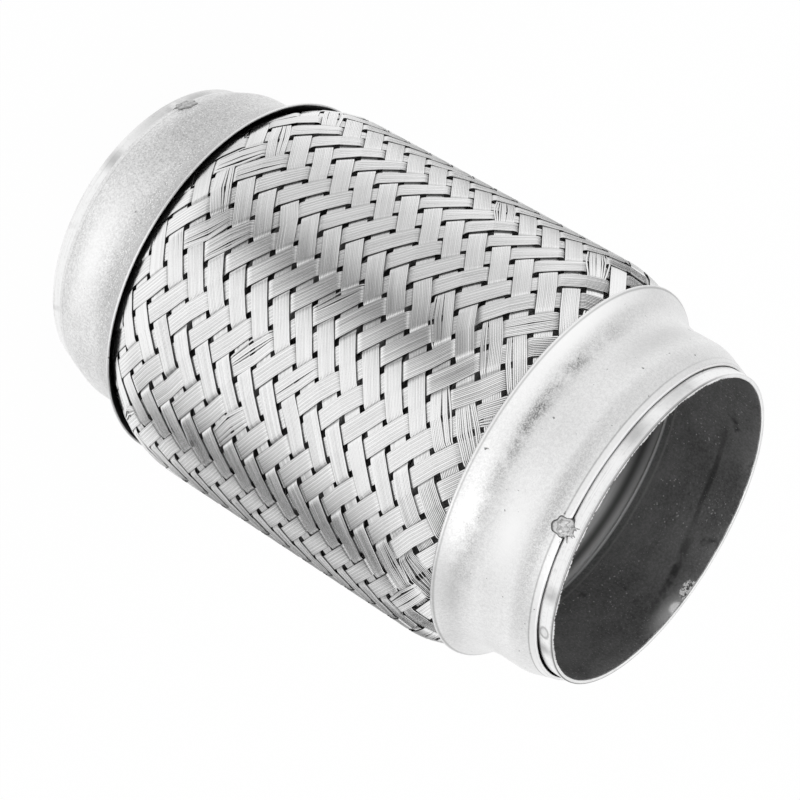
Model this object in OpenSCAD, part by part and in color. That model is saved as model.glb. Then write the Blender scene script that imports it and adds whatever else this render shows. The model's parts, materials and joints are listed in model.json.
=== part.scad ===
/* Braided exhaust flex pipe, standing on its lower mouth.
   The axis is Z, the origin is the middle of the lower mouth, and sizes are in millimetres.
   Stations along the pipe are measured from the nearer mouth. */

/* [Overall] */
// Length over both mouths
pipe_l = 152.4; // [140:0.1:260]
// Gap between pieces that are pressed over one another
fit_gap = 0.1; // [0.05:0.01:0.15]

/* [Inner sleeves] */
// Bore of each mouth
bore_d = 76.2; // [60:0.1:90]
// Wall of a sleeve
sleeve_wall = 1; // [0.8:0.1:2]
// Length of a sleeve from its mouth to its inner end
sleeve_l = 25.7; // [20:0.1:30]
// Length of sleeve that stands out of the cap
sleeve_out = 3.5; // [2:0.1:6]
// Length of the tapered relief in the bore at the inner end
relief_l = 3; // [1:0.1:5]
// Depth of that relief
relief_depth = 0.3; // [0.1:0.05:0.5]
// Chamfer on the mouth's edges
mouth_chamfer = 0.2; // [0.1:0.05:0.35]

/* [End caps] */
// Sheet that the caps are pressed from
cap_wall = 1.2; // [0.8:0.1:1.6]
// Length of a cap from its lip to the edge of its skirt
cap_l = 23.1; // [22:0.1:30]
// Slope of the taper that closes the lip on the sleeve, degrees
taper_a = 20; // [15:1:30]
// Radius of the bend between the taper and the neck
taper_bend_r = 8; // [4:0.5:12]
// Length of the flared skirt
flare_l = 10.6; // [8:0.1:12]
// Height of the skirt's edge over the neck
skirt_rise = 5; // [4:0.1:6]

/* [Bellows] */
// Wall of the bellows
bellows_wall = 0.5; // [0.3:0.05:0.8]
// Height of a convolution over the cuff
conv_h = 7.3; // [6:0.1:10]
// Wanted distance from crest to crest
conv_pitch = 7.6; // [6:0.1:10]
// How far the first crest lies before the place where the braid is at full size
crest_lead = 2.4; // [0:0.1:4]
// Room between the cap's inner taper and the ends of the bellows and the braid
cuff_room = 0.3; // [0.1:0.1:2]

/* [Outer braid] */
// Number of wire bands, half of them wound each way
carriers = 64; // [48:4:80]
// Length along the pipe from one crossing of a band to its next
pick = 3.255; // [2.5:0.005:4.5]
// Full thickness of the braid, two bands and their wave
braid_wall = 1.1; // [0.8:0.05:1.6]
// Depth of the corners between bands
corner_depth = 0.6; // [0.3:0.05:0.7]
// Room between the crests and the braid
crest_gap = 0.8; // [0.6:0.05:2]
// Radius over which the braid rounds to full size past the skirt
shoulder_r = 22; // [15:0.5:30]
// How far the braid's foot starts past the start of the flare
foot_lead = 1.5; // [0.5:0.1:3]
// Share of a crossing's width that a band leaves open along each edge
band_inset = 0.07; // [0.03:0.01:0.15]
// Share of a crossing over which a band dives at its ends
dive = 0.42; // [0.2:0.01:0.6]
// Half width of a see-through gap, as a share of a crossing
gap_half = 0.17; // [0.1:0.01:0.22]
// Turn of the weave about the axis, degrees
braid_turn = 1.4; // [-6:0.1:6]
// Shift of the weave along the pipe from its middle
braid_lift = -1.4; // [-3:0.1:3]

/* [Tack welds] */
// Radius of a weld bead
weld_r = 2.6; // [2:0.1:3.2]
// Depth of the bead's middle under the sleeve's surface
weld_sink = 0.3; // [0:0.1:1]
// Distance from the lip's edge to the bead's middle, towards the neck
weld_in = 0.6; // [0:0.1:1.5]
// Places of the two upper beads round the axis, degrees
upper_weld_a = [-76, 76]; // [-180:1:180]
// Places of the two lower beads round the axis, degrees
lower_weld_a = [-135, 45]; // [-180:1:180]

/* [Hidden] */
$fn = 240;

// Radii from the bore outwards: sleeve, bellows cuff, braid cuff, cap neck
sleeve_r = bore_d / 2 + sleeve_wall;
cuff_r_in = sleeve_r + fit_gap;
cuff_r = cuff_r_in + bellows_wall;
sock_r_in = cuff_r + fit_gap;
sock_r = sock_r_in + braid_wall;
neck_r_in = sock_r + fit_gap;
neck_r = neck_r_in + cap_wall;
crest_r = cuff_r + conv_h;
braid_r = crest_r + crest_gap + braid_wall;

// Cap lip: it bears on the sleeve, and thins to this share of the sheet at its edge
lip_share = 0.7;
lip_r_in = sleeve_r + fit_gap;
lip_r = lip_r_in + lip_share * cap_wall;
// Stations of the taper's foot and end
bend_drop = taper_bend_r * (1 - cos(taper_a));
taper_s = sleeve_out + (neck_r - lip_r - bend_drop) / tan(taper_a);
taper_end_s = taper_s + taper_bend_r * sin(taper_a);
bend_mid_r = neck_r - taper_bend_r;
seat_end_s = sleeve_out + cap_wall / sin(taper_a) - lip_share * cap_wall / tan(taper_a);

// Skirt: an arc that leaves the neck along the axis
skirt_s = sleeve_out + cap_l;
flare_s = skirt_s - flare_l;
flare_r = (pow(flare_l, 2) + pow(skirt_rise, 2)) / (2 * skirt_rise);
flare_a = asin(flare_l / flare_r);
flare_mid_r = neck_r + flare_r;

// Cuffs of the bellows and the braid start just past the cap's inner taper
cuff_s = taper_end_s + cuff_room;

// Braid outline: a foot that follows the flare, then a shoulder up to full size
foot_s = flare_s + foot_lead;
foot_r = flare_r + cap_wall;
sweep_a = acos(1 - (braid_r - sock_r) / (foot_r + shoulder_r));
foot_end_s = foot_s + foot_r * sin(sweep_a);
full_s = foot_end_s + shoulder_r * sin(sweep_a);

// Convolutions fill the length between the first and the last crest
first_crest_s = full_s - crest_lead;
crest_span = pipe_l - 2 * first_crest_s;
conv_n = max(3, round(crest_span / conv_pitch) + 1);
pitch = crest_span / (conv_n - 1);
fold_r = pitch / 4;
half_wall = bellows_wall / 2;
cuff_mid_r = cuff_r - half_wall;
crest_mid_r = crest_r - half_wall;

// Points along a quarter turn of a profile, and along a half turn
quarter_n = 5;
half_n = 8;
// Points of a profile closer than this are one point
same_spot = 0.01;

// Braid lattice: carriers steps round the axis, rows of crossings each way from the middle row
bands = carriers / 2;
step_a = 360 / carriers;
rows = floor((pipe_l / 2 - skirt_s) / pick);
in_rows = rows - 1 + rows % 2;
// A gap goes right through at every fourth step and fourth row
gap_every = 4;
gap_rows = [for (j = [-in_rows + 2 : 2 : in_rows - 2]) if ((j - 1) % gap_every == 0) j];
// End rings of the braid, as shares of the way from the last row to the foot
ring_shares = [0.5, 1];

// Points on an arc in a profile plane, angle measured from the first axis
function arc(mid, r, a0, a1, n) = [
    for (i = [0 : n])
        let (a = a0 + (a1 - a0) * i / n)
        mid + r * [cos(a), sin(a)]
];
// Last point first
function back(list) = [for (i = [len(list) - 1 : -1 : 0]) list[i]];
// Turns the lower end's profile or station into the upper end's
module at_top() {
    translate([0, 0, pipe_l])
        mirror([0, 0, 1])
            children();
}

// Profiles are [radius, station from the mouth]
function sleeve_outline() = [
    [bore_d / 2 + mouth_chamfer, 0],
    [sleeve_r - mouth_chamfer, 0],
    [sleeve_r, mouth_chamfer],
    [sleeve_r, sleeve_l],
    [bore_d / 2 + relief_depth, sleeve_l],
    [bore_d / 2, sleeve_l - relief_l],
    [bore_d / 2, mouth_chamfer]
];

// Outer face from the lip to the skirt's edge
function cap_outside() = concat(
    arc([bend_mid_r, taper_end_s], taper_bend_r, -taper_a, 0, quarter_n),
    arc([flare_mid_r, flare_s], flare_r, 180, 180 - flare_a, half_n));
// Inner face, the same bends one sheet inwards
function cap_inside() = concat(
    [[lip_r_in, seat_end_s]],
    arc([bend_mid_r, taper_end_s], taper_bend_r - cap_wall, -taper_a, 0, quarter_n),
    arc([flare_mid_r, flare_s], flare_r + cap_wall, 180, 180 - flare_a, half_n));
// Rounded edge of the skirt, from the outer face to the inner one
function skirt_edge() = let (
    mid = [flare_mid_r, flare_s] + (flare_r + cap_wall / 2) * [-cos(flare_a), sin(flare_a)])
    arc(mid, cap_wall / 2, -flare_a, 180 - flare_a, quarter_n);
// Rounded corner of the lip's edge
lip_round = lip_share * cap_wall / 2;
function lip_edge() = concat(
    [[lip_r_in, sleeve_out]],
    arc([lip_r - lip_round, sleeve_out + lip_round], lip_round, -90, -taper_a, quarter_n));
function cap_outline() = concat(lip_edge(), cap_outside(), skirt_edge(), back(cap_inside()));

module end_cap() {
    color([0.80, 0.80, 0.79])
        rotate_extrude()
            polygon(cap_outline());
}

module inner_sleeve() {
    color([0.62, 0.62, 0.62])
        rotate_extrude()
            polygon(sleeve_outline());
}

// One face of the bellows, side steps of it from the middle of the sheet
function crest_s(i) = first_crest_s + i * pitch;
function fold_face(side) = [
    for (i = [0 : conv_n - 1])
        each concat(
            arc([cuff_mid_r + fold_r, crest_s(i) - 2 * fold_r], fold_r - side, 180, 90, half_n / 2),
            arc([crest_mid_r - fold_r, crest_s(i)], fold_r + side, -90, 90, half_n),
            arc([cuff_mid_r + fold_r, crest_s(i) + 2 * fold_r], fold_r - side, -90, -180, half_n / 2))
];

// Roots between two convolutions are met by both, so the second copy of the shared point is dropped
function without_repeats(list) = [
    for (i = [0 : len(list) - 1])
        if (i == 0 || norm(list[i] - list[i - 1]) > same_spot) list[i]
];

module bellows() {
    outside = without_repeats(fold_face(half_wall));
    inside = without_repeats(fold_face(-half_wall));
    color([0.55, 0.55, 0.55])
        rotate_extrude()
            polygon(concat(
                [[cuff_r, cuff_s]], outside, [[cuff_r, pipe_l - cuff_s]],
                [[cuff_r_in, pipe_l - cuff_s]], back(inside), [[cuff_r_in, cuff_s]]));
}

// Outer radius of the braid at a height
function braid_r_at(z) = let (s = min(z, pipe_l - z))
    s <= foot_s ? sock_r
    : s <= foot_end_s ? sock_r + foot_r - sqrt(pow(foot_r, 2) - pow(s - foot_s, 2))
    : s <= full_s ? braid_r - shoulder_r + sqrt(pow(shoulder_r, 2) - pow(full_s - s, 2))
    : braid_r;
// Height of a lattice row, and a point at a lattice place, so deep under the outer face
function row_z(j) = pipe_l / 2 + braid_lift + j * pick;
function at_step(k, r, z) = [r * cos(braid_turn + k * step_a), r * sin(braid_turn + k * step_a), z];
function on_braid(k, j, depth) = at_step(k, braid_r_at(row_z(j)) - depth, row_z(j));
function wrap(k) = (k % carriers + carriers) % carriers;

// Low corners between bands lie where step and row add to an odd number
function corner_shift(j) = 1 - abs(j) % 2;
corner_pts = [for (j = [-rows - 1 : rows + 1]) for (i = [0 : bands - 1])
    on_braid(2 * i + corner_shift(j), j, corner_depth)];
function corner_id(k, j) = (j + rows + 1) * bands + floor(wrap(k) / 2);

// Inner face: every second step on every second row
in_base = len(corner_pts);
in_pts = [for (j = [-in_rows : 2 : in_rows]) for (i = [0 : bands - 1]) on_braid(2 * i, j, braid_wall)];
function in_id(k, j) = in_base + (j + in_rows) / 2 * bands + floor(wrap(k) / 2);

// See-through gaps: four outer and four inner points each, by their directions from the corner
gaps = [for (j = gap_rows) for (k = [0 : gap_every : carriers - 1]) [k, j]];
gap_dirs = [[-1, -1], [1, -1], [-1, 1], [1, 1]];
gap_base = in_base + len(in_pts);
gap_pts = [for (g = gaps) for (depth = [corner_depth, braid_wall]) for (d = gap_dirs)
    on_braid(g[0] + gap_half * d[0], g[1] + gap_half * d[1], depth)];
function is_gap(k, j) = wrap(k) % gap_every == 0 && (j - 1) % gap_every == 0 && abs(j) <= in_rows - 2;
function gap_no(k, j) = (j - gap_rows[0]) / gap_every * (carriers / gap_every) + wrap(k) / gap_every;
// Point of a gap that lies in direction d, layer 0 outside and 1 inside
function gap_id(k, j, d, layer) =
    gap_base + 8 * gap_no(k, j) + 4 * layer + (d[0] > 0 ? 1 : 0) + (d[1] > 0 ? 2 : 0);

// Pads: the stretch of a band that lies on top, over two crossings or over one at the end rows
// Lean is 1 for a band that climbs with the angle and -1 for one that falls
pads = [for (lean = [1, -1]) for (j = [-rows - 1 : rows + 1]) for (k = [1 - lean : 4 : carriers - 1])
    if (abs(j) % 2 == 0 && (abs(j) <= rows || abs(j + lean) <= rows))
        [k, j, lean, abs(j) <= rows ? 0 : 1, abs(j + lean) <= rows ? 2 : 1]];
// Lattice place of a pad's own coordinates, u along the band and v across it
function pad_at(p, u, v) = [p[0] + u - v, p[1] + p[2] * (u + v - 1)];
top_base = gap_base + len(gap_pts);
top_pts = [for (p = pads) for (c = [[p[3] + dive, 1 - band_inset], [p[3] + dive, band_inset],
                                    [p[4] - dive, band_inset], [p[4] - dive, 1 - band_inset]])
    let (q = pad_at(p, c[0], c[1])) on_braid(q[0], q[1], 0)];

// A pad's outline: each low corner with the top point it joins, or a gap's edge in its place
function along_u(p) = [1, p[2]];
function along_v(p) = [-1, p[2]];
function outline_at(p, u, v, top, dirs) = let (c = pad_at(p, u, v))
    is_gap(c[0], c[1]) ? [for (d = dirs) [gap_id(c[0], c[1], d, 0), top]] : [[corner_id(c[0], c[1]), top]];
function pad_outline(p) = let (u = along_u(p), v = along_v(p), whole = p[4] - p[3] == 2) concat(
    outline_at(p, p[3], 1, 0, [u, -v]),
    outline_at(p, p[3], 0, 1, [v, u]),
    whole ? outline_at(p, 1, 0, 1, [-u, v, u]) : [],
    outline_at(p, p[4], 0, 2, [-u, v]),
    outline_at(p, p[4], 1, 3, [-v, -u]),
    whole ? outline_at(p, 1, 1, 3, [u, -v, -u]) : []);
function turned(face, lean) = lean > 0 ? back(face) : face;
function pad_faces(n) = let (p = pads[n], edge = pad_outline(p), top = top_base + 4 * n) concat(
    [for (f = [[top, top + 1, top + 2], [top, top + 2, top + 3]]) turned(f, p[2])],
    [for (i = [0 : len(edge) - 1]) let (a = edge[i], b = edge[(i + 1) % len(edge)])
        each concat(
            [turned([a[0], b[0], top + a[1]], p[2])],
            a[1] == b[1] ? [] : [turned([b[0], top + b[1], top + a[1]], p[2])])]);

// Walls of a gap and the triangles that join its inner edge to the inner face
gap_sides = [[[-1, 1], [1, 1], [0, 2]], [[1, 1], [1, -1], [2, 0]],
             [[1, -1], [-1, -1], [0, -2]], [[-1, -1], [-1, 1], [-2, 0]]];
function gap_faces(g) = [for (s = gap_sides) let (k = g[0], j = g[1],
    o0 = gap_id(k, j, s[0], 0), o1 = gap_id(k, j, s[1], 0),
    i0 = gap_id(k, j, s[0], 1), i1 = gap_id(k, j, s[1], 1))
    each [[o0, o1, i1], [o0, i1, i0], [i0, i1, in_id(k + s[2][0], j + s[2][1])]]];
function in_corner(k, j, d) = is_gap(k, j) ? gap_id(k, j, d, 1) : in_id(k, j);
function in_faces(k, j) = let (
    a = in_corner(k, j, [1, 1]), b = in_corner(k + 2, j, [-1, 1]),
    c = in_corner(k + 2, j + 2, [-1, -1]), d = in_corner(k, j + 2, [1, -1]))
    [[a, b, c], [a, c, d]];

// End rings: outside and inside, at both ends, down to the end of the cuff
ring_base = top_base + len(top_pts);
last_s = [row_z(-rows - 1), pipe_l - row_z(rows + 1)];
function ring_levels(end) = concat(
    [for (share = ring_shares) last_s[end] + share * (foot_s - last_s[end])], [cuff_s]);
ring_n = len(ring_shares) + 1;
// The inner ring's flats, not its corners, keep clear of the bellows
flat_share = 1 / cos(180 / bands);
ring_pts = [
    for (end = [0, 1]) for (s = ring_levels(end))
        let (z = end == 0 ? s : pipe_l - s, r_out = braid_r_at(z), r_in = (r_out - braid_wall) * flat_share)
        each concat(
            [for (i = [0 : bands - 1]) at_step(2 * i + corner_shift(rows + 1), r_out, z)],
            [for (i = [0 : bands - 1]) at_step(2 * i, r_in, z)])
];
// Ring number 0 is the last row of the lattice, and the others lead from it to the cuff's end
function ring_id(end, n, layer, i) = let (w = (i + bands) % bands)
    n > 0 ? ring_base + ((end * ring_n + n - 1) * 2 + layer) * bands + w
    : layer == 0 ? corner_id(2 * w + corner_shift(rows + 1), (2 * end - 1) * (rows + 1))
    : in_id(2 * w, (2 * end - 1) * in_rows);
function strip_faces(end, n, layer, i) = let (
    a = ring_id(end, n, layer, i), b = ring_id(end, n, layer, i + 1),
    c = ring_id(end, n + 1, layer, i + 1), d = ring_id(end, n + 1, layer, i), flip = end == layer ? 1 : -1)
    [turned([a, b, c], -flip), turned([a, c, d], -flip)];
function rim_faces(end, i) = let (
    a = ring_id(end, ring_n, 0, i), b = ring_id(end, ring_n, 0, i + 1),
    c = ring_id(end, ring_n, 1, i + 1), d = ring_id(end, ring_n, 1, i))
    [turned([a, b, c], 2 * end - 1), turned([a, c, d], 2 * end - 1)];
// Triangles that close the zigzag of the last crossings
function zigzag_face(end, i) = let (a = ring_id(end, 0, 0, i), b = ring_id(end, 0, 0, i + 1),
    m = corner_id(2 * i + corner_shift(rows + 1) + 1, (2 * end - 1) * rows))
    turned([a, m, b], 2 * end - 1);

braid_faces = concat(
    [for (n = [0 : len(pads) - 1]) each pad_faces(n)],
    [for (g = gaps) each gap_faces(g)],
    [for (j = [-in_rows : 2 : in_rows - 2]) for (k = [0 : 2 : carriers - 1]) each in_faces(k, j)],
    [for (end = [0, 1]) for (i = [0 : bands - 1]) each concat(
        [zigzag_face(end, i)],
        [for (n = [0 : ring_n - 1]) for (layer = [0, 1]) each strip_faces(end, n, layer, i)],
        rim_faces(end, i))]);

module outer_braid() {
    color([0.86, 0.86, 0.86])
        polyhedron(points = concat(corner_pts, in_pts, gap_pts, top_pts, ring_pts), faces = braid_faces);
}

// A bead over the lip's edge, cut to sit on the sleeve and the cap
module tack_welds(angles) {
    color([0.70, 0.70, 0.68])
        for (a = angles)
            difference() {
                rotate([0, 0, a])
                    translate([sleeve_r - weld_sink, 0, sleeve_out + weld_in])
                        sphere(r = weld_r);
                translate([0, 0, -weld_r])
                    cylinder(r = sleeve_r, h = sleeve_l);
                rotate_extrude()
                    polygon(cap_outline());
            }
}

at_top() end_cap();  // upper_end_cap
end_cap();  // lower_end_cap
at_top() inner_sleeve();  // upper_inner_sleeve
inner_sleeve();  // lower_inner_sleeve
bellows();
outer_braid();
at_top() tack_welds(upper_weld_a);  // upper_tack_welds
tack_welds(lower_weld_a);  // lower_tack_welds
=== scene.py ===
"""Looks, light and camera of a braided exhaust flex pipe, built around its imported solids.

The pipe stands on its lower mouth, and its axis is Z. The classes hold sizes in millimetres, which
become metres when a mesh or a material is made. A station is a distance along the axis from the nearer
mouth, and an angle round the axis is measured from +X, in degrees.
"""

from __future__ import annotations

import json
import logging
import math
from collections.abc import Sequence
from dataclasses import dataclass
from enum import Enum
from typing import Any, Union

import bpy
import numpy as np
from mathutils import Matrix, Vector

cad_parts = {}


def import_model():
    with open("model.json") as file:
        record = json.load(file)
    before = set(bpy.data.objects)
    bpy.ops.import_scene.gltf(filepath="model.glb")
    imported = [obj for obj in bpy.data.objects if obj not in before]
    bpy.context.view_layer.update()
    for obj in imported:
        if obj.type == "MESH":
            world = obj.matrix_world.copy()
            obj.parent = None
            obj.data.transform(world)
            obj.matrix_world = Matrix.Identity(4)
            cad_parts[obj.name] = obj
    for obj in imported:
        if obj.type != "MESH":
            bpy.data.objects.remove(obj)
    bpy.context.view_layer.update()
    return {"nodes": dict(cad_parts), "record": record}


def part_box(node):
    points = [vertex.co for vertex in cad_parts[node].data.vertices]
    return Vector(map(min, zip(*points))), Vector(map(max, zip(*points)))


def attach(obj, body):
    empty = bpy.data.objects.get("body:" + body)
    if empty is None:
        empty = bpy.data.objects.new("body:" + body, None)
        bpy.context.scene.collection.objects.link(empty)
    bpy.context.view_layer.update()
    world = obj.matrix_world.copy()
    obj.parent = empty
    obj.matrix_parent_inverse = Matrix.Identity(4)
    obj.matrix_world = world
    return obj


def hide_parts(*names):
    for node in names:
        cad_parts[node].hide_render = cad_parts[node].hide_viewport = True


MM = 0.001
BODY = "root"
LOG = logging.getLogger("flex_pipe")


class Slot(Enum):
    """Material slots of the record."""

    CAP = "blasted_cap_steel"
    SLEEVE = "sleeve_steel"
    BELLOWS = "bellows_steel"
    BRAID = "braid_wire"
    WELD = "weld_metal"


class End(Enum):
    """The two ends of the pipe."""

    LOWER = "lower"
    UPPER = "upper"

    def height(self, station: np.ndarray, length: float) -> np.ndarray:
        """Height over the floor of a station from this end's mouth."""
        return station if self is End.LOWER else length - station

    def random(self, seed: int) -> np.random.Generator:
        """Source of the random numbers of a piece at this end."""
        return np.random.default_rng(seed + (1 if self is End.UPPER else 2))


class Lean(Enum):
    """The two ways in which the bands of the braid are wound."""

    RISING = 1
    FALLING = -1


class Expr:
    """A shader socket that takes part in Python arithmetic, where each operator adds a Math node."""

    def __init__(self, graph: Graph, socket: bpy.types.NodeSocket) -> None:
        """Keeps the socket and the graph that new nodes go into."""
        self.graph = graph
        self.socket = socket

    def __add__(self, other: Value) -> Expr:
        """Sum."""
        return self.graph.math("ADD", self, other)

    __radd__ = __add__

    def __sub__(self, other: Value) -> Expr:
        """Difference."""
        return self.graph.math("SUBTRACT", self, other)

    def __rsub__(self, other: Value) -> Expr:
        """Difference, with this value taken away."""
        return self.graph.math("SUBTRACT", other, self)

    def __mul__(self, other: Value) -> Expr:
        """Product."""
        return self.graph.math("MULTIPLY", self, other)

    __rmul__ = __mul__

    def __truediv__(self, other: Value) -> Expr:
        """Quotient."""
        return self.graph.math("DIVIDE", self, other)

    def __rtruediv__(self, other: Value) -> Expr:
        """Quotient, with this value below."""
        return self.graph.math("DIVIDE", other, self)

    def __pow__(self, other: Value) -> Expr:
        """Power."""
        return self.graph.math("POWER", self, other)

    def __abs__(self) -> Expr:
        """Size without its sign."""
        return self.graph.math("ABSOLUTE", self)

    def ramp(self, start: float, end: float) -> Expr:
        """Smooth step from 0 where the value is start to 1 where it is end."""
        settings = {"interpolation_type": "SMOOTHSTEP", "clamp": True}
        return self.graph.value("ShaderNodeMapRange", 0, settings, {0: self, 1: start, 2: end})

    def near(self, middle: float, reach: float) -> Expr:
        """Smooth hump of height 1 at middle, which ends at reach on either side."""
        return abs(self - middle).ramp(reach, 0.0)


Value = Union[float, Expr]
Patch = tuple[float, float, float, float]


class Graph:
    """The node tree of one material or of the world."""

    def __init__(self, tree: bpy.types.NodeTree) -> None:
        """Takes a tree over and empties it."""
        self.tree = tree
        tree.nodes.clear()

    def node(self, kind: str, settings: dict[str, Any] | None = None,
             sockets: dict[Any, Any] | None = None) -> bpy.types.Node:
        """Adds a node.

        Args:
            kind: Blender's name for the node's type.
            settings: Properties of the node, set first.
            sockets: Input name or number, and the value or the expression that feeds it.

        Returns:
            The new node.
        """
        made = self.tree.nodes.new(kind)
        for name, setting in (settings or {}).items():
            setattr(made, name, setting)
        for key, feed in (sockets or {}).items():
            if isinstance(feed, Expr):
                self.tree.links.new(feed.socket, made.inputs[key])
            else:
                made.inputs[key].default_value = feed
        return made

    def value(self, kind: str, output: Any, settings: dict[str, Any] | None = None,
              sockets: dict[Any, Any] | None = None) -> Expr:
        """Adds a node and returns one of its outputs, by name or number."""
        return Expr(self, self.node(kind, settings, sockets).outputs[output])

    def math(self, operation: str, *values: Value) -> Expr:
        """Adds a Math node on the given values."""
        return self.value("ShaderNodeMath", 0, {"operation": operation}, dict(enumerate(values)))

    def largest(self, first: Value, *others: Value) -> Value:
        """Largest of several values."""
        for other in others:
            first = self.math("MAXIMUM", first, other)
        return first

    def place(self) -> Expr:
        """Object coordinates, in metres."""
        return self.value("ShaderNodeTexCoord", "Object")

    def parts(self, vector: Expr) -> tuple[Expr, Expr, Expr]:
        """The three parts of a vector."""
        split = self.node("ShaderNodeSeparateXYZ", None, {0: vector})
        return tuple(Expr(self, output) for output in split.outputs)

    def stretched(self, vector: Expr, scale: tuple[float, float, float]) -> Expr:
        """A vector with each part multiplied by its own scale."""
        return self.value("ShaderNodeVectorMath", 0, {"operation": "MULTIPLY"}, {0: vector, 1: scale})

    def noise(self, vector: Expr, scale: float, detail: float = 2.0, roughness: float = 0.5) -> Expr:
        """Smooth noise from 0 to 1."""
        sockets = {"Vector": vector, "Scale": scale, "Detail": detail, "Roughness": roughness}
        return self.value("ShaderNodeTexNoise", 0, None, sockets)

    def cells(self, vector: Expr, scale: float) -> Expr:
        """Distance from the nearest of a set of scattered points, in cells."""
        return self.value("ShaderNodeTexVoronoi", "Distance", None, {"Vector": vector, "Scale": scale})

    def attribute(self, name: str) -> Expr:
        """A number that the mesh stores at its points."""
        return self.value("ShaderNodeAttribute", "Fac", {"attribute_name": name})

    def mix(self, share: Value, first: Any, second: Any) -> Expr:
        """Colour that goes from first to second as share goes from 0 to 1."""
        return self.value("ShaderNodeMix", 2, {"data_type": "RGBA"}, {0: share, 6: first, 7: second})

    def bump(self, height: Expr, strength: float, distance: float) -> Expr:
        """Normal that is tilted by a height.

        Args:
            height: Height from 0 to 1.
            strength: Share of the tilt that is used.
            distance: Depth in millimetres that a height of 1 stands for.

        Returns:
            The tilted normal.
        """
        sockets = {"Strength": strength, "Distance": distance * MM, "Height": height}
        return self.value("ShaderNodeBump", 0, None, sockets)

    def metal(self, sockets: dict[str, Any]) -> None:
        """Ends the tree in a metal surface with the given sockets."""
        shader = self.node("ShaderNodeBsdfPrincipled", None, {"Metallic": 1.0, **sockets})
        self.node("ShaderNodeOutputMaterial", None, {"Surface": Expr(self, shader.outputs[0])})


def grey(level: float) -> tuple[float, float, float, float]:
    """Neutral colour of a level, with full opacity."""
    return (level, level, level, 1.0)


@dataclass(frozen=True)
class Finish:
    """A finish that makes its own material."""

    name: str
    slot: Slot

    def material(self) -> bpy.types.Material:
        """Makes the material and fills its tree."""
        made = bpy.data.materials.new(self.name)
        made.use_nodes = True
        self.paint(Graph(made.node_tree))
        return made

    def paint(self, graph: Graph) -> None:
        """Fills the tree with the finish's nodes."""
        raise NotImplementedError


@dataclass(frozen=True)
class BraidWire(Finish):
    """Bright drawn wire with a tone per wire, and painted shade under crossing bands and in hollows."""

    bright: float = 0.98
    dull: float = 0.6
    # Colour that the painted shade in hollows and under crossing bands goes to.
    painted_shade: float = 0.02
    roughness: float = 0.17
    # Where the painted contact shade starts and ends across the gap, and how dark it goes.
    contact_shade_in: float = 0.075
    contact_shade_out: float = 0.115
    contact_shade_depth: float = 0.34

    def paint(self, graph: Graph) -> None:
        """Tone per wire, soft cloudy stains, and painted shade along contact lines and in hollows.

        A wire is under its crossings around the third of every four units of its run. There it is painted
        dark as shade, except in the gap between the two bands above it, which is at that third unit; a
        thin painted shadow line stays along the gap's edges.

        Args:
            graph: Tree to fill.
        """
        place = graph.place()
        tone = graph.attribute("tone")
        depth = graph.attribute("depth")
        under = abs(graph.math("FLOORED_MODULO", graph.attribute("run"), 4.0) - 3.0)
        # Painted shade: dark under the crossing bands, bright in the gap but for a thin painted shadow
        # line at its edges.
        contact_shade = under.ramp(self.contact_shade_in, self.contact_shade_out) * under.ramp(0.97, 0.91)
        cloud = graph.noise(place, 90.0, 3.0)
        wear = graph.noise(place, 900.0, 2.0)
        metal = graph.mix(tone * 0.75 + cloud * 0.25, grey(self.dull), grey(self.bright))
        # depth is painted shade: the wires' lower sides and their stretch under the caps' skirts.
        dark = graph.largest(depth, contact_shade * self.contact_shade_depth)
        graph.metal({
            "Base Color": graph.mix(dark, metal, grey(self.painted_shade)),
            "Roughness": self.roughness + 0.1 * cloud + 0.1 * depth,
            "Normal": graph.bump(wear, 0.1, 0.01),
        })


@dataclass(frozen=True)
class Site:
    """The tree of a finish and the place that it colours, in metres, with its angle in degrees.

    A patch on it is a station and a reach in millimetres, then an angle and a spread in degrees.
    """

    graph: Graph
    place: Expr
    station: Expr
    angle: Expr
    radius: Expr

    def along(self, station: float, reach: float) -> Expr:
        """Hump at a station that ends at reach on either side, both in millimetres."""
        return self.station.near(station * MM, reach * MM)

    def past(self, start: float, end: float) -> Expr:
        """Smooth step from 0 at one station to 1 at another, both in millimetres."""
        return self.station.ramp(start * MM, end * MM)

    def patch(self, station: float, reach: float, angle: float, spread: float) -> Expr:
        """1 in the middle of a soft-edged patch, and 0 from its edge on."""
        return self.along(station, reach) * self.angle.near(angle, spread)


@dataclass(frozen=True)
class Surface(Finish):
    """A finish that is told apart by place round the axis and by distance from a mouth."""

    length: float
    end: End | None

    def site(self, graph: Graph) -> Site:
        """Works out where a place lies.

        Args:
            graph: Tree that the nodes go into.

        Returns:
            The site, with its station from this end's mouth, or from the nearer one where there is no end.
        """
        place = graph.place()
        x, y, z = graph.parts(place)
        station = z if self.end is End.LOWER else self.length * MM - z
        if self.end is None:
            station = graph.math("MINIMUM", z, station)
        angle = graph.math("ARCTAN2", y, x) * (180 / math.pi)
        return Site(graph, place, station, angle, graph.math("SQRT", x * x + y * y))


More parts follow.
